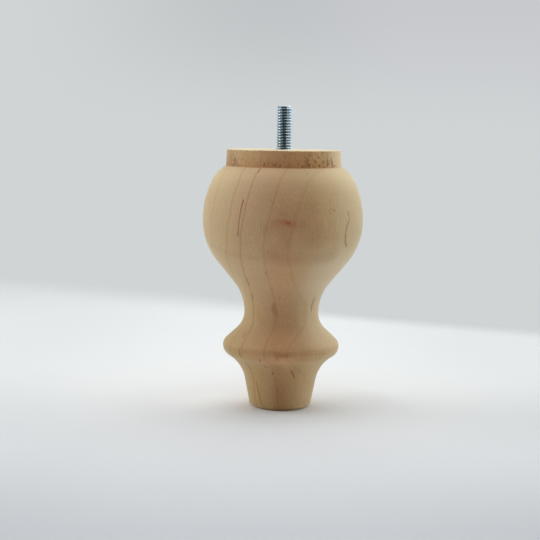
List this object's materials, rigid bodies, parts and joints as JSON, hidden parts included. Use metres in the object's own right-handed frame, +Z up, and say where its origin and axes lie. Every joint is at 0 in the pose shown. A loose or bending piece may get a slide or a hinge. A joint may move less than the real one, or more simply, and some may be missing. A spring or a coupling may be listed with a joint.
{
  "type": "tapered wooden furniture leg",
  "caption": "Short turned wooden furniture leg: round collar, big bulb, narrow neck, thin bead and a tapered foot, with a threaded stud standing out of the top.",
  "frame": {"origin": "middle of the foot's underside, on the floor", "axes": "+Z up along the leg's turning axis towards the stud; X and Y are the same all round, and the picture looks along +Y"},
  "size_m": [0.093, 0.093, 0.175],
  "materials": {
    "bare_wood": "unfinished, sanded pale hardwood",
    "zinc_plated_steel": "bright zinc plating"
  },
  "bodies": {
    "root": {"turned_leg": "bare_wood", "hanger_bolt": "zinc_plated_steel"}
  },
  "joints": []
}
